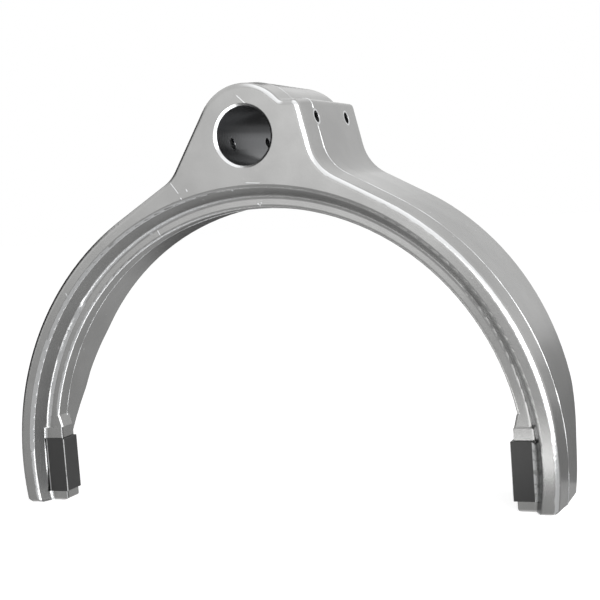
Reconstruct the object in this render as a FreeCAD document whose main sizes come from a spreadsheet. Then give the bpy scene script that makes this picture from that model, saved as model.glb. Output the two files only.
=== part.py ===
import FreeCAD, Part
import math
import os
import Sketcher

# A transmission shift fork: a die-cast aluminium yoke on a rail boss, with a
# plastic slider shoe clipped over each tongue.
#
# Frame, in millimetres: the origin is on the rail bore's axis, in the boss's
# front face. +X runs across the yoke, +Y along the bore to the back, +Z up.

doc = FreeCAD.newDocument("shift_fork")
Vector = FreeCAD.Vector

# Driving sizes

driving = [
    ("boreDiameter", 25.0, "shift rail bore"),
    ("boreChamfer", 1.2, "at both mouths of the bore"),
    ("bossWall", 10.3, "boss wall round the bore, at the parting plane"),
    ("bossLength", 68.3, "front face to back face"),
    ("partingDepth", 14.4, "parting plane behind the front face"),
    ("frontDraft", 3.0, "degrees, in front of the parting plane"),
    ("backDraft", 1.3, "degrees, behind the parting plane"),
    ("crownDrop", 14.5, "crown of the arch below the bore axis"),
    ("outerRadius", 126.8, "outside of the arch, at the parting plane"),
    ("bandWidth", 7.4, "front band, outside of the arch to the step"),
    ("ribInset", 16.8, "outside of the arch to the inside of the rib"),
    ("flangeWall", 7.2, "outer flange behind the rib"),
    ("tipDrop", 19.3, "ends of the arms below the arch centre"),
    ("stepDepth", 7.8, "rib face behind the band's face"),
    ("stepLean", 27.0, "degrees, slope of the step's wall"),
    ("ribDepth", 37.0, "back of the inner rib"),
    ("leftShoulder", 30.5, "degrees, slope of the left shoulder"),
    ("rightShoulder", 28.5, "degrees, slope of the right shoulder"),
    ("flankLean", 32.0, "degrees, left flank off the vertical"),
    ("leftBlend", 16.0, "radius between left shoulder and flank"),
    ("rightBlend", 19.0, "radius between pin pad and right shoulder"),
    ("padLean", 12.0, "degrees, pin pad off the vertical"),
    ("padProud", 5.8, "pin pad beyond the boss's round"),
    ("landHeight", 13.9, "top of the pad's shoulder above the bore axis"),
    ("cornerRadius", 3.6, "corner of the pad's shoulder"),
    ("notchRadius", 2.5, "hollow between boss and shoulder"),
    ("pinDiameter", 5.2, "cross pin holes"),
    ("pinMouth", 0.7, "chamfer at the mouths of the pin holes"),
    ("firstPin", 16.0, "first pin hole behind the front face"),
    ("pinPitch", 38.0, "between the pin holes"),
    ("rimStartDrop", 0.95, "below the left shoulder's foot, where the flange starts to narrow"),
    ("rimBendRise", 27.3, "above the arch centre, where it narrows faster"),
    ("rimBendDepth", 49.0, "flange depth there"),
    ("rimFootRise", 2.8, "above the arch centre, where the narrowing ends"),
    ("tipDepth", 34.8, "flange depth at the tips"),
    ("ribStartRise", 57.3, "above the arch centre, where the rib starts to narrow"),
    ("ribBendRise", 28.8, "above the arch centre, where it narrows faster"),
    ("ribBendDepth", 30.0, "rib depth there"),
    ("backBend", 22.0, "radius where the back of rib and flange changes slope"),
    ("heelCut", 2.4, "cut corner at the back of the arm ends"),
    ("tongueInset", 20.1, "outside of the arch to the inner face of a tongue"),
    ("tongueFront", 6.6, "front face of a tongue"),
    ("tongueBack", 16.3, "back face of a tongue"),
    ("tongueHeight", 34.2, "front of a tongue above the end of its arm"),
    ("tongueFlare", 5.4, "height over which the rib leads into the tongue"),
    ("lipHeight", 4.3, "below the shoe"),
    ("seatDepth", 1.1, "recess that the shoe sits in"),
    ("shoeHeight", 24.6, "along the tongue"),
    ("shoeGap", 0.1, "above and below the shoe"),
    ("shoeProud", 1.3, "shoe in front of and inside the tongue"),
    ("shoeProudBack", 0.6, "shoe behind the tongue"),
    ("shoeWrap", 9.2, "reach of the shoe's cheeks over the tongue"),
    ("shoeRound", 2.1, "rounding of the front cheek's free edge"),
    ("shoeRoundBack", 1.3, "rounding of the back cheek's free edge"),
    ("shoeCorner", 2.4, "round corner of the cheeks"),
    ("shoeEdge", 0.4, "rounding of the shoe's inner edges"),
    ("rimRound", 2.4, "rounding of the outer front edge"),
    ("stepRound", 2.0, "rounding of the band's inner edge"),
    ("stepFillet", 2.1, "hollow at the foot of the step"),
    ("tongueFillet", 1.8, "hollow at the foot of the step, beside a tongue"),
    ("leadRound", 1.0, "rounding of a lead's front edge"),
    ("tongueEdge", 0.5, "rounding of a tongue's inner front edge"),
    ("ribRound", 1.5, "rounding of the rib's inner front edge"),
    ("backCut", 0.8, "chamfer of the back edges"),
    ("webChamfer", 2.0, "flat in the hollow between rib and flange at the back"),
    ("lipRound", 1.5, "rounding of the lips below the shoes"),
    ("footCut", 1.6, "flat on the outer bottom edges"),
    ("overshoot", 6.0, "by which cuts and blanks run past the casting"),
    ("archSweep", 230.0, "degrees, arch blank before its ends are cut level"),
]

# Sizes worked out from them: radii about the arch's axis, levels above the
# bore axis, and reaches from the middle plane.

derived = [
    ("bossRadius", "sizes.boreDiameter / 2 + sizes.bossWall"),
    ("padReach", "worked.bossRadius + sizes.padProud"),
    ("archLevel", "-sizes.outerRadius - sizes.crownDrop"),
    ("tipLevel", "worked.archLevel - sizes.tipDrop"),
    ("bandInner", "sizes.outerRadius - sizes.bandWidth"),
    ("bandMiddle", "sizes.outerRadius - sizes.bandWidth / 2"),
    ("stepFoot", "worked.bandInner - sizes.partingDepth * tan(sizes.stepLean * 1 deg)"),
    ("ribInner", "sizes.outerRadius - sizes.ribInset"),
    ("ribFrontInner",
     "worked.ribInner + (sizes.partingDepth - sizes.stepDepth) * tan(sizes.frontDraft * 1 deg)"),
    ("ribBlankDepth", "sizes.ribDepth + sizes.overshoot"),
    ("ribBlankInner",
     "worked.ribInner + (worked.ribBlankDepth - sizes.partingDepth) * tan(sizes.backDraft * 1 deg)"),
    ("flangeInner", "sizes.outerRadius - sizes.flangeWall"),
    ("ribStartLevel", "worked.archLevel + sizes.ribStartRise"),
    ("ribBendLevel", "worked.archLevel + sizes.ribBendRise"),
    ("rimStartLevel",
     "worked.archLevel + sizes.outerRadius * cos(sizes.leftShoulder * 1 deg) - sizes.rimStartDrop"),
    ("rimBendLevel", "worked.archLevel + sizes.rimBendRise"),
    ("rimFootLevel", "worked.archLevel + sizes.rimFootRise"),
    ("heelLevel", "worked.tipLevel + sizes.heelCut"),
    ("heelDepth", "sizes.tipDepth - sizes.heelCut - sizes.overshoot"),
    ("blankLength", "sizes.bossLength + sizes.overshoot"),
    ("farBack", "worked.blankLength + sizes.overshoot"),
    ("farUp", "worked.bossRadius + sizes.overshoot"),
    ("farDown", "worked.archLevel - sizes.outerRadius"),
    ("farOut", "sizes.outerRadius + sizes.overshoot"),
    ("armEnd", "worked.tipLevel - sizes.overshoot"),
    ("tongueReach", "sizes.outerRadius - sizes.tongueInset"),
    ("tongueTop", "worked.tipLevel + sizes.tongueHeight"),
    ("flareTop", "worked.tongueTop + sizes.tongueFlare"),
    ("flareReach", "sqrt(worked.ribInner ^ 2 - (worked.flareTop - worked.archLevel) ^ 2)"),
    ("leadReach", "worked.tongueReach + sizes.overshoot"),
    ("seatFoot", "worked.tipLevel + sizes.lipHeight"),
    ("seatTop", "worked.seatFoot + sizes.shoeHeight + 2 * sizes.shoeGap"),
    ("seatInside", "worked.tongueReach - sizes.overshoot"),
    ("seatBed", "worked.tongueReach + sizes.seatDepth"),
    ("seatEdge", "worked.cheekEnd + sizes.shoeGap"),
    ("seatAhead", "sizes.tongueFront - sizes.overshoot"),
    ("frontBed", "sizes.tongueFront + sizes.seatDepth"),
    ("backBed", "sizes.tongueBack - sizes.seatDepth"),
    ("seatBehind", "sizes.tongueBack + sizes.overshoot"),
    ("shoeFace", "worked.tongueReach - sizes.shoeProud"),
    ("shoeFront", "sizes.tongueFront - sizes.shoeProud"),
    ("shoeBack", "sizes.tongueBack + sizes.shoeProudBack"),
    ("shoeFoot", "worked.seatFoot + sizes.shoeGap"),
    ("shoeHead", "worked.shoeFoot + sizes.shoeHeight"),
    ("cheekEnd", "worked.tongueReach + sizes.shoeWrap"),
    ("shoeAhead", "worked.shoeFront - sizes.overshoot"),
    ("shoeBehind", "worked.shoeBack + sizes.overshoot"),
    ("channelEnd", "worked.cheekEnd + sizes.overshoot"),
]

sheet = doc.addObject("Spreadsheet::Sheet", "sizes")
for row, (name, value, note) in enumerate(driving, start=1):
    sheet.set(f"A{row}", name)
    sheet.set(f"B{row}", str(value))
    sheet.set(f"C{row}", note)
    sheet.setAlias(f"B{row}", name)
doc.recompute()

worked = doc.addObject("App::VarSet", "worked")
for name, formula in derived:
    worked.addProperty("App::PropertyFloat", name, "Worked")
for name, formula in derived:
    worked.setExpression(name, formula)
doc.recompute()
values = {name: float(sheet.get(name)) for name, value, note in driving}
values.update({name: float(getattr(worked, name)) for name, formula in derived})
values["0"] = 0.0


def size(name):
    return values[name]


def ref(name):
    if name == "0":
        return name
    return ("worked." if name in worked.PropertiesList else "sizes.") + name


def bind(target, prop, formula):
    target.setExpression(prop, formula)


# Sketch helpers. A sketch starts near its solution, and constraints hold it.

def newBody(name):
    body = doc.addObject("PartDesign::Body", name)
    body.Label = name
    return body


def newSketch(body, name, role, offset=None):
    plane = [item for item in body.Origin.OriginFeatures if item.Role == role][0]
    sketch = body.newObject("Sketcher::SketchObject", name)
    sketch.AttachmentSupport = [(plane, "")]
    sketch.MapMode = "FlatFace"
    if offset:
        bind(sketch, ".AttachmentOffset.Base.z", offset)
    return sketch


def polar(centre, radius, degrees):
    angle = math.radians(degrees)
    return Vector(centre.x + radius * math.cos(angle), centre.y + radius * math.sin(angle), 0)


def heading(degrees):
    return polar(Vector(0, 0, 0), 1, degrees)


def crossing(pointA, dirA, pointB, dirB):
    gap = pointB - pointA
    turn = dirA.x * dirB.y - dirA.y * dirB.x
    along = (gap.x * dirB.y - gap.y * dirB.x) / turn
    return pointA + dirA * along


def onArc(centre, radius, height, side):
    rise = height - centre.y
    return Vector(centre.x + side * math.sqrt(radius ** 2 - rise ** 2), height, 0)


class Chain:
    """A closed run of lines and arcs, joined end to end."""

    def __init__(self, sketch, start):
        self.sketch = sketch
        self.point = start
        self.last = None
        self.opening = None

    def join(self, geo, startPos, endPos, smooth):
        if self.last is None:
            self.opening = (geo, startPos)
        else:
            kind = "Tangent" if smooth else "Coincident"
            self.sketch.addConstraint(Sketcher.Constraint(kind, *self.last, geo, startPos))
        self.last = (geo, endPos)
        return geo

    def line(self, end, smooth=False):
        geo = self.sketch.addGeometry(Part.LineSegment(self.point, end))
        self.point = end
        return self.join(geo, 1, 2, smooth)

    def arc(self, centre, end, clockwise, smooth=True):
        spokeA = self.point - centre
        spokeB = end - centre
        angles = [math.atan2(spokeA.y, spokeA.x), math.atan2(spokeB.y, spokeB.x)]
        if clockwise:
            angles.reverse()
        circle = Part.Circle(centre, Vector(0, 0, 1), spokeA.Length)
        geo = self.sketch.addGeometry(Part.ArcOfCircle(circle, *angles))
        self.point = end
        return self.join(geo, 2 if clockwise else 1, 1 if clockwise else 2, smooth)

    def close(self, smooth=False):
        kind = "Tangent" if smooth else "Coincident"
        self.sketch.addConstraint(Sketcher.Constraint(kind, *self.last, *self.opening))


def hold(sketch, constraint, formula):
    index = sketch.addConstraint(constraint)
    bind(sketch, f"Constraints[{index}]", formula)


def holdPoint(sketch, geo, pos, point, formulaX, formulaY):
    hold(sketch, Sketcher.Constraint("DistanceX", geo, pos, point.x), formulaX)
    hold(sketch, Sketcher.Constraint("DistanceY", geo, pos, point.y), formulaY)


def holdRadius(sketch, geo, name):
    hold(sketch, Sketcher.Constraint("Radius", geo, size(name)), ref(name))


def level(sketch, *lines):
    for geo in lines:
        sketch.addConstraint(Sketcher.Constraint("Horizontal", geo))


def polygon(sketch, corners, side=1, base="0"):
    """A closed run of straight sides. A corner names its x and y, then a radius if it is round.

    The first corner is sharp. y is measured from the base.
    """
    sign = "-" if side < 0 else ""
    points = [Vector(side * size(corner[0]), size(base) + size(corner[1]), 0) for corner in corners]
    formulas = [(sign + ref(corner[0]), f"{ref(base)} + {ref(corner[1])}") for corner in corners]
    chain = Chain(sketch, points[0])
    sides = []
    smooth = False
    for index in range(1, len(corners) + 1):
        corner = corners[index % len(corners)]
        point = points[index % len(corners)]
        if len(corner) == 2:
            sides.append(chain.line(point, smooth))
            smooth = False
            continue
        radius = size(corner[2])
        before = (point - points[index - 1]).normalize()
        after = (points[(index + 1) % len(corners)] - point).normalize()
        trim = radius * math.tan(before.getAngle(after) / 2)
        clockwise = before.cross(after).z < 0
        spoke = Vector(0, 0, -1 if clockwise else 1).cross(before) * radius
        sides.append(chain.line(point - before * trim, smooth))
        arc = chain.arc(point - before * trim + spoke, point + after * trim, clockwise)
        holdRadius(sketch, arc, corner[2])
        smooth = True
    chain.close()
    for index, corner in enumerate(corners):
        if len(corner) == 2:
            holdPoint(sketch, sides[index], 1, points[index], *formulas[index])
            continue
        apex = sketch.addGeometry(Part.Point(points[index]), True)
        holdPoint(sketch, apex, 1, points[index], *formulas[index])
        for line in (sides[index - 1], sides[index]):
            sketch.addConstraint(Sketcher.Constraint("PointOnObject", apex, 1, line))


# Casting: rib and step are turned about the arch's axis, the outline is drawn
# at the parting plane and drafted both ways.

casting = newBody("fork_casting")
bore = Vector(0, 0, 0)
archCentre = Vector(0, size("archLevel"), 0)
backTaper = math.tan(math.radians(size("backDraft")))


def turnedSection(name, corners):
    """A section of straight sides, turned about the arch's axis."""
    sketch = newSketch(casting, name + "Section", "YZ_Plane")
    start = archCentre.y
    end = size("ribDepth")
    axis = sketch.addGeometry(Part.LineSegment(Vector(0, start, 0), Vector(end, start, 0)), True)
    level(sketch, axis)
    holdPoint(sketch, axis, 1, Vector(0, start, 0), "0", ref("archLevel"))
    hold(sketch, Sketcher.Constraint("DistanceX", axis, 2, end), ref("ribDepth"))
    polygon(sketch, corners, base="archLevel")
    turned = casting.newObject("PartDesign::Revolution", name)
    turned.Profile = sketch
    turned.ReferenceAxis = (sketch, ["Axis0"])
    turned.Midplane = True
    bind(turned, "Angle", ref("archSweep"))


def sideCut(name, corners):
    """A cut seen from the side, right through the casting along X."""
    sketch = newSketch(casting, name + "Profile", "YZ_Plane")
    polygon(sketch, corners)
    cut = casting.newObject("PartDesign::Pocket", name)
    cut.Profile = sketch
    cut.Type = "ThroughAll"
    cut.Midplane = True


turnedSection("innerRib", [
    ("stepDepth", "bandMiddle"), ("stepDepth", "ribFrontInner"), ("partingDepth", "ribInner"),
    ("ribBlankDepth", "ribBlankInner"), ("ribBlankDepth", "bandMiddle")])
sideCut("ribNarrowing", [
    ("ribDepth", "0"), ("ribDepth", "ribStartLevel", "backBend"),
    ("ribBendDepth", "ribBendLevel", "backBend"), ("tongueBack", "seatTop", "backBend"),
    ("tongueBack", "farDown"), ("farBack", "farDown"), ("farBack", "0")])
turnedSection("stepRing", [
    ("0", "bandMiddle"), ("0", "bandInner"), ("partingDepth", "stepFoot"), ("partingDepth", "bandMiddle")])

# Outline of boss, shoulders and outer flange, drawn clockwise from the left tip.

outline = newSketch(casting, "outline", "XZ_Plane", "-sizes.partingDepth")
outer = size("outerRadius")
inner = size("flangeInner")
boss = size("bossRadius")
armEnd = size("armEnd")
square = 90

leftWay = heading(size("leftShoulder"))
leftLeave = polar(archCentre, outer, square + size("leftShoulder"))
flankWay = heading(square - size("flankLean"))
flankTouch = polar(bore, boss, 2 * square - size("flankLean"))
leftCorner = crossing(leftLeave, leftWay, flankTouch, flankWay)
leftTurn = square - size("flankLean") - size("leftShoulder")
leftTrim = size("leftBlend") * math.tan(math.radians(leftTurn / 2))
leftStart = leftCorner - leftWay * leftTrim
leftHub = leftStart + polar(bore, size("leftBlend"), square + size("leftShoulder"))

land = size("landHeight")
notch = size("notchRadius")
notchHub = Vector(math.sqrt((boss + notch) ** 2 - (land + notch) ** 2), land + notch, 0)
notchTouch = notchHub * (boss / (boss + notch))
padWay = heading(size("padLean") - square)
padFoot = polar(bore, size("padReach"), size("padLean"))
padCorner = crossing(Vector(0, land, 0), Vector(1, 0, 0), padFoot, padWay)
cornerTrim = size("cornerRadius") * math.tan(math.radians((square - size("padLean")) / 2))
cornerStart = padCorner - Vector(cornerTrim, 0, 0)
cornerHub = cornerStart - Vector(0, size("cornerRadius"), 0)

rightWay = heading(-size("rightShoulder"))
rightLeave = polar(archCentre, outer, square - size("rightShoulder"))
rightCorner = crossing(padFoot, padWay, rightLeave, rightWay)
rightTurn = square - size("padLean") - size("rightShoulder")
rightTrim = size("rightBlend") * math.tan(math.radians(rightTurn / 2))
rightStart = rightCorner - padWay * rightTrim
rightHub = rightStart + polar(bore, size("rightBlend"), size("padLean"))

chain = Chain(outline, onArc(archCentre, outer, armEnd, -1))
leftArc = chain.arc(archCentre, leftLeave, True)
leftLine = chain.line(leftStart, True)
leftBend = chain.arc(leftHub, leftCorner + flankWay * leftTrim, False)
flankLine = chain.line(flankTouch, True)
bossArc = chain.arc(bore, notchTouch, True)
notchArc = chain.arc(notchHub, Vector(notchHub.x, land, 0), False)
landLine = chain.line(cornerStart, True)
cornerArc = chain.arc(cornerHub, padCorner + padWay * cornerTrim, True)
padLine = chain.line(rightStart, True)
rightBend = chain.arc(rightHub, rightCorner + rightWay * rightTrim, False)
rightLine = chain.line(rightLeave, True)
rightArc = chain.arc(archCentre, onArc(archCentre, outer, armEnd, 1), True)
rightEnd = chain.line(onArc(archCentre, inner, armEnd, 1))
innerArc = chain.arc(archCentre, onArc(archCentre, inner, armEnd, -1), False, False)
leftEnd = chain.line(onArc(archCentre, outer, armEnd, -1))
chain.close()

outline.addConstraint(Sketcher.Constraint("Coincident", bossArc, 3, -1, 1))
holdPoint(outline, leftArc, 3, archCentre, "0", ref("archLevel"))
for geo in (rightArc, innerArc):
    outline.addConstraint(Sketcher.Constraint("Coincident", geo, 3, leftArc, 3))
outline.addConstraint(Sketcher.Constraint("Equal", leftArc, rightArc))
for geo, name in (
        (leftArc, "outerRadius"), (innerArc, "flangeInner"), (bossArc, "bossRadius"),
        (leftBend, "leftBlend"), (rightBend, "rightBlend"), (notchArc, "notchRadius"),
        (cornerArc, "cornerRadius")):
    holdRadius(outline, geo, name)
for geo, degrees, formula in (
        (leftLine, size("leftShoulder"), "sizes.leftShoulder * 1 deg"),
        (flankLine, square - size("flankLean"), "90 deg - sizes.flankLean * 1 deg"),
        (padLine, size("padLean") - square, "sizes.padLean * 1 deg - 90 deg"),
        (rightLine, -size("rightShoulder"), "-sizes.rightShoulder * 1 deg")):
    hold(outline, Sketcher.Constraint("Angle", geo, math.radians(degrees)), formula)
level(outline, landLine, leftEnd, rightEnd)
hold(outline, Sketcher.Constraint("DistanceY", landLine, 1, land), ref("landHeight"))
hold(outline, Sketcher.Constraint("Distance", bossArc, 3, padLine, size("padReach")), ref("padReach"))
for geo in (leftEnd, rightEnd):
    hold(outline, Sketcher.Constraint("DistanceY", geo, 1, armEnd), ref("armEnd"))

shell = casting.newObject("PartDesign::Pad", "bossAndFlange")
shell.Profile = outline
shell.SideType = "Two sides"
bind(shell, "Length", "sizes.partingDepth")
bind(shell, "TaperAngle", "-sizes.frontDraft * 1 deg")
bind(shell, "Length2", "worked.blankLength - sizes.partingDepth")
bind(shell, "TaperAngle2", "-sizes.backDraft * 1 deg")
sideCut("flangeNarrowing", [
    ("bossLength", "farUp"), ("bossLength", "rimStartLevel", "backBend"),
    ("rimBendDepth", "rimBendLevel", "backBend"), ("tipDepth", "rimFootLevel", "backBend"),
    ("tipDepth", "heelLevel"), ("heelDepth", "armEnd"), ("farBack", "armEnd"), ("farBack", "farUp")])

# Rail bore, and two pin holes drilled square to the pin pad through the bore.

boreSketch = newSketch(casting, "boreOutline", "XZ_Plane")
circle = boreSketch.addGeometry(Part.Circle(bore, Vector(0, 0, 1), size("boreDiameter") / 2))
boreSketch.addConstraint(Sketcher.Constraint("Coincident", circle, 3, -1, 1))
hold(boreSketch, Sketcher.Constraint("Diameter", circle, size("boreDiameter")), ref("boreDiameter"))
railBore = casting.newObject("PartDesign::Pocket", "railBore")
railBore.Profile = boreSketch
railBore.Type = "ThroughAll"
railBore.Midplane = True

pinSketch = newSketch(casting, "pinOutline", "YZ_Plane")
pinSketch.AttachmentOffset = FreeCAD.Placement(
    Vector(0, 0, 0), FreeCAD.Rotation(Vector(1, 0, 0), -size("padLean")))
bind(pinSketch, ".AttachmentOffset.Rotation.Angle", "-sizes.padLean * 1 deg")
pin = Part.Circle(Vector(size("firstPin"), 0, 0), Vector(0, 0, 1), size("pinDiameter") / 2)
circle = pinSketch.addGeometry(pin)
hold(pinSketch, Sketcher.Constraint("Diameter", circle, size("pinDiameter")), ref("pinDiameter"))
pinSketch.addConstraint(Sketcher.Constraint("PointOnObject", circle, 3, -1))
hold(pinSketch, Sketcher.Constraint("DistanceX", circle, 3, size("firstPin")), ref("firstPin"))
firstHole = casting.newObject("PartDesign::Pocket", "firstPinHole")
firstHole.Profile = pinSketch
firstHole.Type = "ThroughAll"
firstHole.Midplane = True
pinHoles = casting.newObject("PartDesign::LinearPattern", "pinHoles")
pinHoles.Originals = [firstHole]
pinHoles.Direction = (pinSketch, ["H_Axis"])
pinHoles.Occurrences = 2
bind(pinHoles, "Length", ref("pinPitch"))
casting.Tip = pinHoles


def pinMouth(name, depth, depthFormula):
    """A cone turned about a pin hole's axis, at the pin pad."""
    sketch = newSketch(casting, name + "Section", "XY_Plane")
    sketch.AttachmentOffset = FreeCAD.Placement(
        Vector(0, 0, 0), FreeCAD.Rotation(Vector(0, 1, 0), -size("padLean")))
    bind(sketch, ".AttachmentOffset.Rotation.Angle", "sizes.padLean * 1 deg")
    cone = size("pinMouth")
    radius = size("pinDiameter") / 2
    face = size("padReach") - abs(depth - size("partingDepth")) * backTaper
    faceFormula = (
        f"worked.padReach - abs({depthFormula} - sizes.partingDepth) * tan(sizes.backDraft * 1 deg)")
    edgeFormula = f"{depthFormula} + sizes.pinDiameter / 2"
    axis = sketch.addGeometry(Part.LineSegment(Vector(0, depth, 0), Vector(radius, depth, 0)), True)
    level(sketch, axis)
    holdPoint(sketch, axis, 1, Vector(0, depth, 0), "0", depthFormula)
    hold(sketch, Sketcher.Constraint("DistanceX", axis, 2, radius), "sizes.pinDiameter / 2")
    points = [Vector(face - cone, depth + radius, 0), Vector(face + cone, depth + radius, 0),
              Vector(face + cone, depth + radius + 2 * cone, 0)]
    chain = Chain(sketch, points[0])
    sides = [chain.line(point) for point in (points[1], points[2], points[0])]
    chain.close()
    level(sketch, sides[0])
    holdPoint(sketch, sides[0], 1, points[0], f"{faceFormula} - sizes.pinMouth", edgeFormula)
    outFormula = f"{faceFormula} + sizes.pinMouth"
    hold(sketch, Sketcher.Constraint("DistanceX", sides[0], 2, face + cone), outFormula)
    holdPoint(sketch, sides[2], 1, points[2], outFormula, f"{edgeFormula} + 2 * sizes.pinMouth")
    mouth = casting.newObject("PartDesign::Groove", name)
    mouth.Profile = sketch
    mouth.ReferenceAxis = (sketch, ["Axis0"])
    mouth.Angle = 360


pinMouth("firstMouth", size("firstPin"), "sizes.firstPin")
pinMouth("secondMouth", size("firstPin") + size("pinPitch"), "(sizes.firstPin + sizes.pinPitch)")


# Edges are picked by where they lie.

def dressEdges(body, kind, name, amount, wanted):
    """A Fillet or Chamfer on the edges whose points are all wanted."""
    doc.recompute()
    base = body.Tip
    picked = []
    for number, edge in enumerate(base.Shape.Edges, start=1):
        if edge.Degenerated:
            continue
        if all(wanted(point) for point in edge.discretize(5)):
            picked.append(f"Edge{number}")
    dressed = body.newObject("PartDesign::" + kind, name)
    dressed.Base = (base, picked)
    bind(dressed, "Radius" if kind == "Fillet" else "Size", ref(amount))
    doc.recompute()


def near(value, target, slack=0.05):
    return abs(value - target) < slack


def reach(point):
    """Distance from the arch's axis."""
    return math.hypot(point.x, point.z - archCentre.y)


def fromBore(point):
    return math.hypot(point.x, point.z)


def onOutside(point):
    return reach(point) > outer - size("flangeWall") / 3 and fromBore(point) > boss - size("bossWall") / 2


def onInside(point, name):
    """On the drafted wall that has this radius at the parting plane."""
    radius = size(name) + (point.y - size("partingDepth")) * backTaper
    return near(reach(point), radius, size("backCut") / 4)


def onBack(point, stations):
    """On a back that runs straight between these levels and depths, round at the bends."""
    slack = size("backBend") / 14
    levels = [size(station[0]) for station in stations]
    depths = [size(station[1]) for station in stations]
    height = min(max(point.z, levels[0]), levels[-1])
    lower = max(index for index in range(len(levels) - 1) if levels[index] <= height)
    part = (height - levels[lower]) / (levels[lower + 1] - levels[lower])
    return near(point.y, depths[lower] + part * (depths[lower + 1] - depths[lower]), slack)


ribBackRun = [("seatTop", "tongueBack"), ("ribBendLevel", "ribBendDepth"), ("ribStartLevel", "ribDepth")]
rimBackRun = [
    ("rimFootLevel", "tipDepth"), ("rimBendLevel", "rimBendDepth"), ("rimStartLevel", "bossLength")]
dressEdges(casting, "Chamfer", "boreMouths", "boreChamfer", lambda point: (
    near(fromBore(point), size("boreDiameter") / 2)
    and (near(point.y, 0) or near(point.y, size("bossLength")))))
dressEdges(casting, "Chamfer", "ribBackEdge", "backCut", lambda point: (
    onInside(point, "ribInner") and onBack(point, ribBackRun)))

# Tongues: the rib leads into a flat inner face, and its front stands forward.


def tongueBlocks(name, corners, front, back):
    """A block at each tip, between two depths."""
    sketch = newSketch(casting, name + "Outline", "XZ_Plane", "-" + ref(front))
    for side in (-1, 1):
        polygon(sketch, corners, side)
    pad = casting.newObject("PartDesign::Pad", name)
    pad.Profile = sketch
    pad.Reversed = True
    bind(pad, "Length", f"{ref(back)} - {ref(front)}")


tongueBlocks("tongueLeads", [
    ("tongueReach", "armEnd"), ("tongueReach", "tongueTop"), ("flareReach", "flareTop"),
    ("leadReach", "flareTop"), ("leadReach", "armEnd")], "stepDepth", "tongueBack")
tongueBlocks("tongues", [
    ("tongueReach", "armEnd"), ("tongueReach", "tongueTop"), ("bandMiddle", "tongueTop"),
    ("bandMiddle", "armEnd")], "tongueFront", "partingDepth")

# Arms end on one level.

trimSketch = newSketch(casting, "armEndOutline", "XZ_Plane")
chain = Chain(trimSketch, Vector(-size("farOut"), size("tipLevel"), 0))
top = chain.line(Vector(size("farOut"), size("tipLevel"), 0))
right = chain.line(Vector(size("farOut"), size("farDown"), 0))
bottom = chain.line(Vector(-size("farOut"), size("farDown"), 0))
left = chain.line(Vector(-size("farOut"), size("tipLevel"), 0))
chain.close()
level(trimSketch, top, bottom)
for geo in (left, right):
    trimSketch.addConstraint(Sketcher.Constraint("Vertical", geo))
holdPoint(trimSketch, top, 1, Vector(-size("farOut"), size("tipLevel"), 0),
          "-worked.farOut", ref("tipLevel"))
holdPoint(trimSketch, bottom, 1, Vector(size("farOut"), size("farDown"), 0),
          ref("farOut"), ref("farDown"))
trim = casting.newObject("PartDesign::Pocket", "armEnds")
trim.Profile = trimSketch
trim.Type = "ThroughAll"
trim.Midplane = True

# Roundings

dressEdges(casting, "Fillet", "rimEdge", "rimRound", lambda point: (
    near(point.y, 0) and onOutside(point)))
dressEdges(casting, "Chamfer", "rimBackEdge", "backCut", lambda point: (
    onBack(point, rimBackRun) and (onInside(point, "flangeInner") or onOutside(point))))
dressEdges(casting, "Chamfer", "armFeet", "footCut", lambda point: (
    near(point.z, size("tipLevel")) and onOutside(point)))
dressEdges(casting, "Fillet", "stepEdge", "stepRound", lambda point: (
    near(point.y, 0) and near(reach(point), size("bandInner"))))
stepSlope = math.tan(math.radians(size("stepLean")))
dressEdges(casting, "Fillet", "stepHollow", "stepFillet", lambda point: (
    near(point.y, size("stepDepth"))
    and near(reach(point), size("bandInner") - size("stepDepth") * stepSlope)))
dressEdges(casting, "Fillet", "tongueHollows", "tongueFillet", lambda point: (
    near(point.y, size("tongueFront"))
    and near(reach(point), size("bandInner") - size("tongueFront") * stepSlope)))
dressEdges(casting, "Fillet", "ribEdge", "ribRound", lambda point: (
    near(point.y, size("stepDepth")) and near(reach(point), size("ribFrontInner"))))
dressEdges(casting, "Fillet", "leadEdges", "leadRound", lambda point: (
    near(point.y, size("stepDepth")) and size("tongueTop") - 0.05 < point.z < size("flareTop") + 0.05
    and size("tongueReach") - 0.05 < abs(point.x) < size("flareReach") + 0.05))
dressEdges(casting, "Chamfer", "webHollow", "webChamfer", lambda point: (
    onInside(point, "flangeInner") and onBack(point, ribBackRun)))
dressEdges(casting, "Fillet", "tongueEdges", "tongueEdge", lambda point: (
    near(point.y, size("tongueFront")) and near(abs(point.x), size("tongueReach"))))
lipSketch = newSketch(casting, "lipOutline", "XZ_Plane")
for side in (-1, 1):
    polygon(lipSketch, [
        ("seatInside", "armEnd"), ("leadReach", "armEnd"), ("leadReach", "tipLevel"),
        ("tongueReach", "tipLevel", "lipRound"), ("tongueReach", "seatFoot"), ("seatInside", "seatFoot")], side)
lipEnds = casting.newObject("PartDesign::Pocket", "lipEnds")
lipEnds.Profile = lipSketch
lipEnds.Type = "ThroughAll"
lipEnds.Midplane = True

# Seats: a recess round each tongue, between the ledge above and the lip below.

seatSketch = newSketch(casting, "seatOutline", "XY_Plane", ref("seatTop"))
for side in (-1, 1):
    polygon(seatSketch, [
        ("seatInside", "seatAhead"), ("seatEdge", "seatAhead"), ("seatEdge", "frontBed"),
        ("seatBed", "frontBed"), ("seatBed", "backBed"), ("seatEdge", "backBed"),
        ("seatEdge", "seatBehind"), ("seatInside", "seatBehind")], side)
seats = casting.newObject("PartDesign::Pocket", "seats")
seats.Profile = seatSketch
bind(seats, "Length", "worked.seatTop - worked.seatFoot")

# Shoes: one plastic moulding, a channel clipped over each tongue. Its cheeks
# have one round corner, which is at the foot on the left and at the head on
# the right, as the moulding is turned over.


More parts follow.
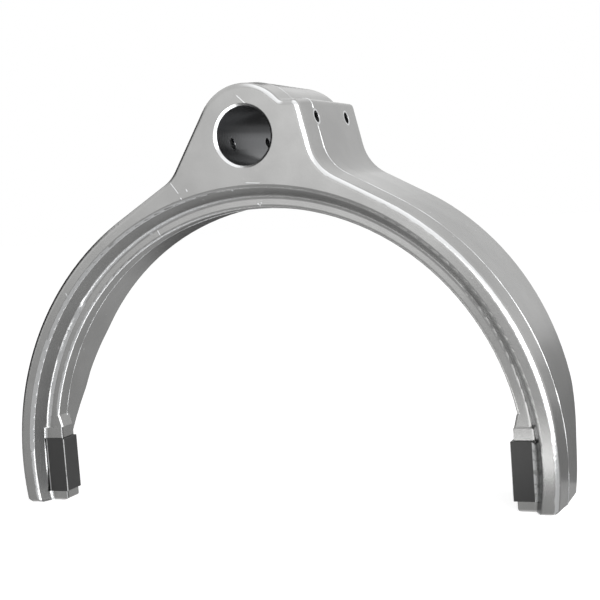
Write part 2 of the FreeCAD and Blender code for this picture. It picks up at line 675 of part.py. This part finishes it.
def shoeBody(name, side, corners):
    body = newBody(name)
    sketch = newSketch(body, name + "Side", "XZ_Plane", "-worked.shoeFront")
    polygon(sketch, [("shoeFace", "shoeFoot"), ("shoeFace", "shoeHead")] + corners, side)
    block = body.newObject("PartDesign::Pad", name + "Block")
    block.Profile = sketch
    block.Reversed = True
    bind(block, "Length", "worked.shoeBack - worked.shoeFront")
    plan = newSketch(body, name + "Plan", "XY_Plane")
    polygon(plan, [
        ("channelEnd", "shoeAhead"), ("seatBed", "shoeAhead"), ("seatBed", "shoeFront"),
        ("cheekEnd", "shoeFront", "shoeRound"), ("cheekEnd", "frontBed"), ("seatBed", "frontBed"),
        ("seatBed", "backBed"), ("cheekEnd", "backBed"), ("cheekEnd", "shoeBack", "shoeRoundBack"),
        ("seatBed", "shoeBack"), ("seatBed", "shoeBehind"), ("channelEnd", "shoeBehind")], side)
    channel = body.newObject("PartDesign::Pocket", name + "Channel")
    channel.Profile = plan
    channel.Type = "ThroughAll"
    channel.Midplane = True
    dressEdges(body, "Fillet", name + "Edges", "shoeEdge", lambda point: (
        near(abs(point.x), size("shoeFace"))))
    return body


pieces = [
    casting,
    shoeBody("left_shoe", -1, [("cheekEnd", "shoeHead"), ("cheekEnd", "shoeFoot", "shoeCorner")]),
    shoeBody("right_shoe", 1, [("cheekEnd", "shoeHead", "shoeCorner"), ("cheekEnd", "shoeFoot")])]
doc.recompute()

for item in doc.Objects:
    if "Invalid" in item.State or "Error" in item.State:
        raise RuntimeError(f"{item.Name} is {item.State}")
    if item.TypeId.startswith("PartDesign::") and hasattr(item, "Shape"):
        if item.Shape.isNull() or not item.Shape.isValid():
            raise RuntimeError(f"{item.Name} has no valid shape")
for piece in pieces:
    if len(piece.Shape.Solids) != 1:
        raise RuntimeError(f"{piece.Label} is not one solid")
    print(piece.Label, round(piece.Shape.Volume), "mm3")

os.makedirs("parts", exist_ok=True)
for piece in pieces:
    piece.Shape.exportStep(f"parts/{piece.Label}.step")
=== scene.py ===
import bmesh
import bpy
import math
from mathutils import Matrix, Vector
from mathutils.noise import noise as noiseAt


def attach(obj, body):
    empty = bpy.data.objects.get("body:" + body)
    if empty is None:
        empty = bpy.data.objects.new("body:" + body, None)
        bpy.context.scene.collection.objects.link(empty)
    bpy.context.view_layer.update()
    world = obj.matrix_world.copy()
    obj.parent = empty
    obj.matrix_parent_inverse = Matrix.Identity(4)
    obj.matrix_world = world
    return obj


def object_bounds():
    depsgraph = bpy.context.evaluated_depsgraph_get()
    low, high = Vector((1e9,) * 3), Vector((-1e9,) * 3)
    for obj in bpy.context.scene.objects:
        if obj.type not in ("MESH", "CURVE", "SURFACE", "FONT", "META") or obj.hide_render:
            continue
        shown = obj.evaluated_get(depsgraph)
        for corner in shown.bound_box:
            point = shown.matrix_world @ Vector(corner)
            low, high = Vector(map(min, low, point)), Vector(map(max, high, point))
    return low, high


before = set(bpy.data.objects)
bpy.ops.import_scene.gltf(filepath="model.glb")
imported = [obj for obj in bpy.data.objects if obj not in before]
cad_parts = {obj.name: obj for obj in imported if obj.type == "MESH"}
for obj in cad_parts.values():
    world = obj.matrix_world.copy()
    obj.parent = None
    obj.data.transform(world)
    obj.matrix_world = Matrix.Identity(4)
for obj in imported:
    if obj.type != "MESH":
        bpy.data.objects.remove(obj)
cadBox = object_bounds()
print("frame loaded")


def fromHex(text):
    # sRGB hex to the linear values that the shaders work in
    linear = []
    for start in (1, 3, 5):
        level = int(text[start:start + 2], 16) / 255
        linear.append(level / 12.92 if level <= 0.04045 else ((level + 0.055) / 1.055) ** 2.4)
    return (*linear, 1.0)


def addNode(tree, kind, settings=None, links=None):
    # settings name a property or an input socket, links name an input socket and its source
    node = tree.nodes.new(kind)
    for name, value in (settings or {}).items():
        if hasattr(node, name):
            setattr(node, name, value)
        else:
            node.inputs[name].default_value = value
    for name, source in (links or {}).items():
        tree.links.new(source, node.inputs[name])
    return node


def newMaterial(name):
    material = bpy.data.materials.new(name)
    material.use_nodes = True
    material.node_tree.nodes.clear()
    return material, material.node_tree


def calc(tree, operation, first, second=0.0, third=0.0):
    # a number is set on the socket, a socket is linked to it
    node = addNode(tree, "ShaderNodeMath", {"operation": operation})
    for index, value in enumerate((first, second, third)):
        if isinstance(value, (int, float)):
            node.inputs[index].default_value = value
        else:
            tree.links.new(value, node.inputs[index])
    return node.outputs[0]


def product(tree, first, *others):
    for other in others:
        first = calc(tree, "MULTIPLY", first, other)
    return first


def strongest(tree, first, *others):
    for other in others:
        first = calc(tree, "MAXIMUM", first, other)
    return first


def turned(tree, first, second, angle):
    # the first axis of a pair, turned by an angle
    return calc(tree, "MULTIPLY_ADD", first, math.cos(angle), product(tree, second, math.sin(angle)))


def reach(tree, first, second):
    # how far a point is from an axis, from its two offsets
    return calc(tree, "SQRT", calc(tree, "ADD", calc(tree, "POWER", first, 2.0),
                                   calc(tree, "POWER", second, 2.0)))


def ramp(tree, value, low, high, toLow=0.0, toHigh=1.0):
    # smooth step between two levels
    return addNode(tree, "ShaderNodeMapRange", {
        "interpolation_type": "SMOOTHSTEP", "From Min": low, "From Max": high,
        "To Min": toLow, "To Max": toHigh}, {"Value": value}).outputs["Result"]


def within(tree, distance, radius, border):
    # 1 near an axis and 0 far from it, with the border's two edges given past the radius
    outer, inner = border
    return ramp(tree, distance, radius + outer, radius + inner)


noiseSpan = (0.3, 0.7)  # most of a noise lies between these levels


def noise(tree, place, size, detail=2.0, roughness=0.5):
    return addNode(tree, "ShaderNodeTexNoise", {
        "Scale": 1 / size, "Detail": detail, "Roughness": roughness}, {"Vector": place}).outputs["Fac"]


def blend(tree, amount, first, second):
    # colours as hex text or sockets
    node = addNode(tree, "ShaderNodeMix", {"data_type": "RGBA"}, {0: amount})
    for index, value in ((6, first), (7, second)):
        if isinstance(value, str):
            node.inputs[index].default_value = fromHex(value)
        else:
            tree.links.new(value, node.inputs[index])
    return node.outputs[2]


def bumped(tree, finish, height):
    # a height over slightly softened edges, as a normal
    soft = addNode(tree, "ShaderNodeBevel", {"Radius": finish["edgeSoftness"], "samples": 4})
    return addNode(tree, "ShaderNodeBump", {
        "Strength": finish["reliefStrength"], "Distance": finish["relief"]}, {
        "Height": height, "Normal": soft.outputs["Normal"]}).outputs["Normal"]


# Camera, at the photograph's place

camera = {
    "azimuth": 22.839, "elevation": 5.052, "roll": -4.257,  # degrees
    "place": (0.242261, -0.526128, -0.019986),
    "lens": 81.84, "sensor": 36.0,  # millimetres
}


def placeCamera():
    azimuth, elevation, roll = (math.radians(camera[key]) for key in ("azimuth", "elevation", "roll"))
    ahead = Vector((-math.sin(azimuth) * math.cos(elevation), math.cos(azimuth) * math.cos(elevation),
                    -math.sin(elevation)))
    right = Vector((math.cos(azimuth), math.sin(azimuth), 0))
    up = right.cross(ahead)
    tiltedRight = right * math.cos(roll) + up * math.sin(roll)
    tiltedUp = up * math.cos(roll) - right * math.sin(roll)
    data = bpy.data.cameras.new("camera")
    data.lens = camera["lens"]
    data.sensor_width = camera["sensor"]
    data.clip_start = 0.01
    data.clip_end = 20
    view = bpy.data.objects.new("camera", data)
    turn = Matrix((tiltedRight, tiltedUp, -ahead)).transposed()
    view.matrix_world = Matrix.Translation(camera["place"]) @ turn.to_4x4()
    bpy.context.scene.collection.objects.link(view)
    bpy.context.scene.camera = view


placeCamera()
print("camera placed")

# Studio: white floor and surroundings, a wide softbox at the front right, and cards that give
# the satin metal something darker to mirror, as a product photographer sets them

studio = {
    "floorSize": 6.0, "floorColour": "#F2F2F2", "floorGlow": 0.74,
    "surroundGrey": 0.32,  # what lights the diffuse part of a surface
    "softboxPlace": (0.86, -0.60, 0.10), "softboxSize": (1.4, 0.7), "softboxPower": 10.0,
    "fillPlace": (-0.30, -1.20, 0.06), "fillSize": (0.35, 0.5), "fillPower": 0.3,
    "topPlace": (0.1, -0.25, 1.1), "topSize": (1.2, 1.0), "topPower": 0.7,
    "aim": (0, 0.03, -0.07),
    "flagRise": 0.0004,  # metres, how far each flag lies over the one below
}
# standing cards: bearing (degrees, 0 to the front, 90 to the right), distance, rise of the
# middle, width, height, brightness
cards = {
    "left": (-95, 0.62, 0, 0.8, 0.7, 0.03),
    "backLeft": (-142, 0.62, 0, 0.45, 0.7, 0.04),
    "back": (166, 0.75, 0, 0.55, 0.9, 0.74),
    "backLow": (166, 0.70, -0.05, 0.5, 0.12, 0.3),
}
# cards lying on the floor: middle across and along, turn (degrees), width, length, brightness
flags = {
    "outer": (0, 0, 0, 5.0, 5.0, 0.75), "inner": (0, 0, 0, 2.2, 2.2, 0.46),
    "backRight": (0.34, 0.55, 0, 0.5, 1.0, 0.25), "behind": (-0.10, 0.46, 0, 0.5, 0.4, 0.05),
    "frontRight": (0.62, -0.34, 0, 0.7, 0.5, 1.5), "strip": (0.185, -0.126, -25, 0.5, 0.05, 3.0),
}


def whiteRays(tree):
    # camera, mirror and see-through rays meet a white room
    path = addNode(tree, "ShaderNodeLightPath")
    return strongest(tree, *(
        path.outputs["Is %s Ray" % kind] for kind in ("Camera", "Glossy", "Transmission")))


def buildWorld():
    world = bpy.data.worlds.new("studioRoom")
    bpy.context.scene.world = world
    world.use_nodes = True
    tree = world.node_tree
    tree.nodes.clear()
    dim = addNode(tree, "ShaderNodeBackground", {
        "Color": (studio["surroundGrey"],) * 3 + (1.0,), "Strength": 1.0})
    white = addNode(tree, "ShaderNodeBackground", {"Color": (1, 1, 1, 1), "Strength": 1.0})
    mixed = addNode(tree, "ShaderNodeMixShader", links={
        0: whiteRays(tree), 1: dim.outputs[0], 2: white.outputs[0]})
    addNode(tree, "ShaderNodeOutputWorld", links={"Surface": mixed.outputs[0]})


def buildSheet(name, turn, width, height, material):
    form = bmesh.new()
    bmesh.ops.create_grid(form, x_segments=1, y_segments=1, size=0.5)
    bmesh.ops.scale(form, vec=(width, height, 1), verts=form.verts)
    bmesh.ops.transform(form, matrix=turn, verts=form.verts)
    mesh = bpy.data.meshes.new(name)
    form.to_mesh(mesh)
    form.free()
    mesh.materials.append(material)
    sheet = bpy.data.objects.new(name, mesh)
    bpy.context.scene.collection.objects.link(sheet)
    return sheet


def buildFloor():
    # matt white paint, which takes a soft shadow
    material, tree = newMaterial("paintedFloor")
    paint = addNode(tree, "ShaderNodeBsdfDiffuse", {"Color": fromHex(studio["floorColour"])})
    glow = addNode(tree, "ShaderNodeEmission", links={
        "Strength": product(tree, whiteRays(tree), studio["floorGlow"])})
    both = addNode(tree, "ShaderNodeAddShader", links={0: paint.outputs[0], 1: glow.outputs[0]})
    addNode(tree, "ShaderNodeOutputMaterial", links={"Surface": both.outputs[0]})
    side = studio["floorSize"]
    buildSheet("floor", Matrix.Translation((0, 0, cadBox[0][2])), side, side, material)


def addLamp(name):
    data = bpy.data.lights.new(name, "AREA")
    data.shape = "RECTANGLE"
    data.size, data.size_y = studio[name + "Size"]
    data.energy = studio[name + "Power"]
    lamp = bpy.data.objects.new(name, data)
    place = Vector(studio[name + "Place"])
    lamp.matrix_world = Matrix.Translation(place) @ (
        Vector(studio["aim"]) - place).to_track_quat("-Z", "Y").to_matrix().to_4x4()
    bpy.context.scene.collection.objects.link(lamp)


def mirrorOnly(sheet):
    sheet.visible_camera = False
    sheet.visible_diffuse = False
    sheet.visible_shadow = False


def newCard(name, brightness):
    # an evenly lit surface, of which only the mirrored tone counts
    material, tree = newMaterial(name)
    light = addNode(tree, "ShaderNodeEmission", {"Strength": brightness})
    addNode(tree, "ShaderNodeOutputMaterial", links={"Surface": light.outputs[0]})
    return material


def addCard(name):
    bearing, distance, rise, width, height, brightness = cards[name]
    angle = math.radians(bearing)
    aim = Vector(studio["aim"]) + Vector((0, 0, rise))
    place = aim + distance * Vector((math.sin(angle), -math.cos(angle), 0))
    turn = Matrix.Translation(place) @ (aim - place).to_track_quat("Z", "Y").to_matrix().to_4x4()
    mirrorOnly(buildSheet(name + "Card", turn, width, height, newCard(name + "Card", brightness)))


def addFlag(name, rise):
    across, along, bearing, width, length, brightness = flags[name]
    turn = Matrix.Translation((across, along, cadBox[0][2] + rise)) @ Matrix.Rotation(
        math.radians(bearing), 4, "Z")
    mirrorOnly(buildSheet(name + "Flag", turn, width, length, newCard(name + "Flag", brightness)))


buildWorld()
buildFloor()
for lampName in ("softbox", "fill", "top"):
    addLamp(lampName)
for cardName in cards:
    addCard(cardName)
for index, flagName in enumerate(flags, start=1):
    addFlag(flagName, studio["flagRise"] * index)
bpy.context.scene.view_settings.view_transform = "Standard"
print("studio lit")

# Die-cast aluminium: a satin grey skin that mirrors softly, brighter where edges are rubbed and where a
# painted highlight lies on their lit side, with painted shade in the bore, in the pin holes and on the
# wall of the step

casting = {
    # the brightest tone: rubbed wear and painted highlights on edges, also the painted light in the pin
    # holes
    "skin": "#B6B6B5", "skinDark": "#ADADAC", "rubbedAndHighlight": "#E6E7E8",
    # painted shade colours for the bore's wall and for the pin holes
    "boredAndShaded": "#6C6D6F", "drilled": "#343537",
    "roughness": 0.26, "brightRoughness": 0.2, "unevenRoughness": 0.05,
    "grain": 0.0011,  # metres, drawn coarser than the real 0.3 mm so that it shows
    "ripple": 0.007,  # slow waves of the die's surface
    "flow": 0.022,  # flow marks of the metal
    "distortion": 0.4,  # of the boring tool's rings
    "rippleHeight": 1.6, "scratchHeight": 1.6,  # against the grain's
    "reliefStrength": 0.22, "relief": 0.00006, "edgeSoftness": 0.0004,
    # rubbed edges and a painted highlight on them, kept to the side that faces the softbox: how far a
    # surface faces the front where they start and end, and how far it faces sideways
    "rubAndHighlightStart": (0.50, 0.60), "rubAndHighlightEnd": (0.985, 0.955), "highlightSide": (-0.05, 0.25),
    "rubAndHighlightPatch": 0.0035, "rubAndHighlightUneven": 0.10,
    "fleck": 0.0022, "fleckPatch": 0.03, "fleckLevels": (0.76, 0.79), "patchLevels": (0.5, 0.6),
    # painted shade in the step: where it fades in by height, depth, distance from the bore, how far the
    # wall faces the middle of the arch, and how far it faces the front
    "stepShade": "#4A4B4C", "stepShadeStrength": (0.25, 0.75), "stepShadeHeights": (-0.05, -0.135),
    "stepShadeDepths": (0.0084, 0.0066), "stepShadeFromBore": (0.015, 0.02),
    "stepShadeInward": (-0.03, -0.07), "stepShadeFront": (0.85, 0.35), "archLevel": -0.1413,
    "boreRadius": 0.0125, "boredBorder": (0.0002, 0.0001),
    "toolPitch": 0.0016,  # rings left by the boring tool, coarser than real so that they show
    # pin holes: painted shade inside them, a painted light where one shows through, a painted highlight
    # ring round each mouth
    "pinRadius": 0.0026, "pinDepths": (0.016, 0.054), "pinLean": 12.0,
    "drilledBorder": (0.00008, 0.00002), "mouthHighlightBorder": (0.0009, 0.0008),
    "padDraft": 0.021, "pinLight": (0.0272, 0.0267),  # bright further out, dark further in
    "pinSide": (-0.002, 0.0),  # dark on the pad's side of the bore's axis only
    "scratchFront": (0.90, 0.95),  # on surfaces that face the front this far
    # scratches on the front face: start, end (millimetres across and up), width
    "scratches": (
        ((-1.3, 16.8), (2.8, 12.8), 0.35), ((0.0, -19.9), (6.0, -20.4), 0.25),
        ((-37.1, -16.1), (-32.7, -22.2), 0.3), ((-48.4, -38.1), (-46.7, -41.3), 0.3),
        ((8.8, 8.1), (8.8, 7.4), 0.4), ((-31.6, -24.5), (-31.2, -25.0), 0.4),
        ((-28.6, -21.0), (-28.3, -21.6), 0.4), ((-93.6, -63.8), (-93.1, -64.8), 0.4),
        ((-91.3, -84.8), (-91.0, -86.2), 0.35),
    ),
}


def scratchMask(tree, acrossX, upZ):
    # how near a point is to any scratch
    masks = []
    for start, end, width in casting["scratches"]:
        run = (Vector(end) - Vector(start)) / 1000
        angle = math.atan2(run.y, run.x)
        offX = calc(tree, "SUBTRACT", acrossX, start[0] / 1000)
        offZ = calc(tree, "SUBTRACT", upZ, start[1] / 1000)
        along = turned(tree, offX, offZ, angle)
        aside = calc(tree, "ABSOLUTE", turned(tree, offZ, offX, -angle))
        past = strongest(tree, calc(tree, "SUBTRACT", along, run.length), product(tree, along, -1.0))
        masks.append(ramp(tree, strongest(tree, aside, past), width / 1000, width / 4000))
    return strongest(tree, *masks)


def castAluminium():
    material, tree = newMaterial("dieCastAluminium")
    coordinates = addNode(tree, "ShaderNodeTexCoord")
    place = coordinates.outputs["Object"]
    acrossX, alongY, upZ = addNode(tree, "ShaderNodeSeparateXYZ", links={"Vector": place}).outputs
    facingX, facingY, facingZ = addNode(
        tree, "ShaderNodeSeparateXYZ", links={"Vector": coordinates.outputs["Normal"]}).outputs
    frontness = calc(tree, "ABSOLUTE", facingY)

    # distance from the bore's axis, and from the axis of the nearer pin hole
    fromBore = reach(tree, acrossX, upZ)
    # the bore's wall, painted darker as shade, with the tool's rings in its relief
    boredAndShaded = within(tree, fromBore, casting["boreRadius"], casting["boredBorder"])
    lean = math.radians(casting["pinLean"])
    frontPin, backPin = casting["pinDepths"]
    nearest = calc(tree, "MINIMUM", *(
        calc(tree, "ABSOLUTE", calc(tree, "SUBTRACT", alongY, depth)) for depth in (frontPin, backPin)))
    fromPin = reach(tree, turned(tree, upZ, acrossX, -lean), nearest)
    drilled = within(tree, fromPin, casting["pinRadius"], casting["drilledBorder"])
    # a painted highlight ring round the mouth of each pin hole
    mouthHighlights = within(tree, fromPin, casting["pinRadius"], casting["mouthHighlightBorder"])
    # depth under the pad's face, which comes closer to the bore's axis towards the back
    underPad = calc(tree, "MULTIPLY_ADD", calc(tree, "SUBTRACT", alongY, frontPin), casting["padDraft"],
                    turned(tree, acrossX, upZ, lean))
    # painted shade deep in the pin holes on the pad's side, a painted light nearer their mouths and in
    # the holes on the left
    pinHoleShade = product(tree, ramp(tree, underPad, *casting["pinLight"]),
                   ramp(tree, acrossX, *casting["pinSide"]))

    # the wall of the front's step, which faces the middle of the arch, gets a painted shade
    inward = calc(tree, "MULTIPLY_ADD", facingX, acrossX, product(
        tree, facingZ, calc(tree, "SUBTRACT", upZ, casting["archLevel"])))
    paintedStepShade = product(
        tree, ramp(tree, inward, *casting["stepShadeInward"]), ramp(tree, frontness, *casting["stepShadeFront"]),
        ramp(tree, alongY, *casting["stepShadeDepths"]), ramp(tree, fromBore, *casting["stepShadeFromBore"]),
        ramp(tree, upZ, *casting["stepShadeHeights"], *casting["stepShadeStrength"]))

    # rounded edges are rubbed bright and carry a painted highlight on the side that faces the softbox,
    # with an uneven border
    uneven = noise(tree, place, casting["rubAndHighlightPatch"], 4.0, 0.6)
    shifted = calc(tree, "MULTIPLY_ADD", uneven, casting["rubAndHighlightUneven"],
                   calc(tree, "SUBTRACT", frontness, casting["rubAndHighlightUneven"] / 2))
    rubbedAndHighlight = product(
        tree, ramp(tree, shifted, *casting["rubAndHighlightStart"]), ramp(tree, shifted, *casting["rubAndHighlightEnd"]),
        ramp(tree, facingX, *casting["highlightSide"]))
    flecks = product(tree, ramp(tree, noise(tree, place, casting["fleck"], 1.0), *casting["fleckLevels"]),
                     ramp(tree, noise(tree, place, casting["fleckPatch"]), *casting["patchLevels"]))
    scratches = product(
        tree, scratchMask(tree, acrossX, upZ), ramp(tree, frontness, *casting["scratchFront"]))
    # painted highlights on the edges and the pin mouths, with rubbed wear, flecks and scratches
    bright = strongest(tree, rubbedAndHighlight, mouthHighlights, flecks, scratches)

    flowing = ramp(tree, noise(tree, place, casting["flow"], 3.0, 0.55), *noiseSpan)
    tone = blend(tree, flowing, casting["skinDark"], casting["skin"])
    # painted step shade over the tone, then painted highlights and rubbed wear over both
    colour = blend(tree, bright, blend(tree, paintedStepShade, tone, casting["stepShade"]), casting["rubbedAndHighlight"])
    # painted shade darkens the bored surface
    colour = blend(tree, boredAndShaded, colour, casting["boredAndShaded"])
    # the pin holes get painted shade and painted light
    colour = blend(tree, drilled, colour, blend(tree, pinHoleShade, casting["rubbedAndHighlight"], casting["drilled"]))

    grain = noise(tree, place, casting["grain"], 2.0, 0.6)
    rough = calc(tree, "MULTIPLY_ADD", grain, casting["unevenRoughness"],
                 casting["roughness"] - casting["unevenRoughness"] / 2)
    rough = calc(tree, "MULTIPLY_ADD", bright, casting["brightRoughness"] - casting["roughness"], rough)
    # the wave pattern repeats every 2 pi / 20 of its scale
    rings = addNode(tree, "ShaderNodeTexWave", {
        "wave_type": "BANDS", "bands_direction": "Y", "Scale": math.pi / (10 * casting["toolPitch"]),
        "Distortion": casting["distortion"], "Detail": 1.0}, {"Vector": place}).outputs["Fac"]
    relief = calc(tree, "MULTIPLY_ADD", noise(tree, place, casting["ripple"], 1.0),
                  casting["rippleHeight"], grain)
    relief = calc(tree, "MULTIPLY_ADD", scratches, casting["scratchHeight"], relief)
    relief = calc(tree, "ADD", product(tree, relief, calc(tree, "SUBTRACT", 1.0, boredAndShaded)),
                  product(tree, rings, boredAndShaded))
    surface = addNode(tree, "ShaderNodeBsdfPrincipled", {"Metallic": 1.0}, {
        "Base Color": colour, "Roughness": rough, "Normal": bumped(tree, casting, relief)})
    addNode(tree, "ShaderNodeOutputMaterial", links={"Surface": surface.outputs[0]})
    return material


# Moulded glass-filled nylon: dark grey, satin, with a fine mould grain, and rounded edges painted lighter
# as rubbed wear and a painted highlight

shoe = {
    # the lighter tone: rubbed wear and a painted highlight on the rounded edges
    "colour": "#393939", "rubbedAndHighlight": "#D6D7D7", "roughness": 0.42, "unevenRoughness": 0.12,
    "grain": 0.0008,  # metres
    "reliefStrength": 0.25, "relief": 0.00008, "edgeSoftness": 0.0004,
    # rubbed cheek edges with a painted highlight: how far a surface faces the front where they start and
    # end
    "rubAndHighlightStart": (0.10, 0.35), "rubAndHighlightEnd": (0.99, 0.93),
    "rubAndHighlightPatch": 0.0025, "rubAndHighlightLevels": (0.30, 0.52, 0.45, 1.0),
}


def mouldedNylon():
    material, tree = newMaterial("mouldedNylon")
    coordinates = addNode(tree, "ShaderNodeTexCoord")
    place = coordinates.outputs["Object"]
    facing = addNode(tree, "ShaderNodeSeparateXYZ", links={"Vector": coordinates.outputs["Normal"]})
    frontness = product(tree, facing.outputs["Y"], -1.0)
    patches = noise(tree, place, shoe["rubAndHighlightPatch"], 3.0, 0.6)
    # rounded edges painted lighter in patches: rubbed wear and a painted highlight
    rubbedAndHighlight = product(
        tree, ramp(tree, frontness, *shoe["rubAndHighlightStart"]), ramp(tree, frontness, *shoe["rubAndHighlightEnd"]),
        ramp(tree, patches, *shoe["rubAndHighlightLevels"]))
    colour = blend(tree, rubbedAndHighlight, shoe["colour"], shoe["rubbedAndHighlight"])
    grain = noise(tree, place, shoe["grain"], 2.0, 0.6)
    rough = calc(tree, "MULTIPLY_ADD", grain, shoe["unevenRoughness"],
                 shoe["roughness"] - shoe["unevenRoughness"] / 2)
    surface = addNode(tree, "ShaderNodeBsdfPrincipled", links={
        "Base Color": colour, "Roughness": rough, "Normal": bumped(tree, shoe, grain)})
    addNode(tree, "ShaderNodeOutputMaterial", links={"Surface": surface.outputs[0]})
    return material


def dress(node, material):
    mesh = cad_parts[node].data
    mesh.materials.clear()
    mesh.materials.append(material)


dress("fork_casting", castAluminium())
nylon = mouldedNylon()
for shoeNode in ("left_shoe", "right_shoe"):
    dress(shoeNode, nylon)
print("materials set")

# Parting line: the thin trimmed flash where the die's halves met, all round the casting's section

flash = {
    "depth": 0.01442,  # behind the front face, metres
    "radius": 0.00023, "step": 0.0008,
    "fewest": 4,  # points, below which a stretch is left out
    "patch": 0.009, "usual": 0.8, "uneven": 1.3, "thinnest": 0.25,  # shares of the radius
    "boreClear": 0.0145, "pinClear": 0.0036, "shoeTop": -0.1225, "shoeReach": 0.1185,
    "tone": "#E6E7E8", "roughness": (0.15, 0.3), "grain": 0.002,
}


def sectionRuns(node, depth):
    # the outline of a node's section, as runs of points, always in the same order
    form = bmesh.new()
    form.from_mesh(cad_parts[node].data)
    bmesh.ops.remove_doubles(form, verts=form.verts, dist=1e-6)
    everything = form.verts[:] + form.edges[:] + form.faces[:]
    cut = bmesh.ops.bisect_plane(form, geom=everything, plane_co=(0, depth, 0), plane_no=(0, 1, 0))
    outline = [item for item in cut["geom_cut"] if isinstance(item, bmesh.types.BMEdge)]
    edges = set(outline)
    runs = []
    for edge in outline:
        if edge not in edges:
            continue
        edges.discard(edge)
        ends = list(edge.verts)
        for _ in range(2):
            onward = [item for item in ends[-1].link_edges if item in edges]
            while onward:
                edges.discard(onward[0])
                ends.append(onward[0].other_vert(ends[-1]))
                onward = [item for item in ends[-1].link_edges if item in edges]
            ends.reverse()
        runs.append([vert.co.copy() for vert in ends])
    form.free()
    return runs


def bare(point):
    # away from the bore, the front pin hole and the shoes
    lean = math.radians(casting["pinLean"])
    offPin = point.z * math.cos(lean) - point.x * math.sin(lean)
    nearPin = math.hypot(offPin, point.y - casting["pinDepths"][0]) < flash["pinClear"]
    atShoe = point.z < flash["shoeTop"] and abs(point.x) < flash["shoeReach"]
    return math.hypot(point.x, point.z) > flash["boreClear"] and not nearPin and not atShoe


def trimmedAluminium():
    # cut metal, brighter and smoother than the cast skin
    material, tree = newMaterial("trimmedFlash")
    place = addNode(tree, "ShaderNodeTexCoord").outputs["Object"]
    rough = ramp(tree, noise(tree, place, flash["grain"]), *noiseSpan, *flash["roughness"])
    surface = addNode(tree, "ShaderNodeBsdfPrincipled", {
        "Metallic": 1.0, "Base Color": fromHex(flash["tone"])}, {"Roughness": rough})
    addNode(tree, "ShaderNodeOutputMaterial", links={"Surface": surface.outputs[0]})
    return material


def buildFlash():
    data = bpy.data.curves.new("flash", "CURVE")
    data.dimensions = "3D"
    data.bevel_depth = flash["radius"]
    data.bevel_resolution = 1
    data.use_fill_caps = True
    for run in sectionRuns("fork_casting", flash["depth"]):
        points = []
        for first, second in zip(run, run[1:]):
            steps = max(1, round((second - first).length / flash["step"]))
            points += [first.lerp(second, step / steps) for step in range(steps)]
        points.append(run[-1])
        stretch = []
        for point in points + [None]:
            if point is not None and bare(point):
                stretch.append(point)
                continue
            if len(stretch) >= flash["fewest"]:
                spline = data.splines.new("POLY")
                spline.points.add(len(stretch) - 1)
                for item, spot in zip(spline.points, stretch):
                    item.co = (*spot, 1)
                    share = flash["usual"] + flash["uneven"] * noiseAt(spot / flash["patch"])
                    item.radius = min(1.0, max(flash["thinnest"], share))
            stretch = []
    curve = bpy.data.objects.new("flashCurve", data)
    mesh = bpy.data.meshes.new_from_object(curve)
    bpy.data.objects.remove(curve)
    mesh.name = "flash"
    for vert in mesh.vertices:
        vert.co = [min(max(value, low), high) for value, low, high in zip(vert.co, *cadBox)]
    mesh.materials.clear()
    mesh.materials.append(trimmedAluminium())
    piece = bpy.data.objects.new("flash", mesh)
    bpy.context.scene.collection.objects.link(piece)
    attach(piece, "root")
    print("flash", len(mesh.polygons), "faces")


buildFlash()
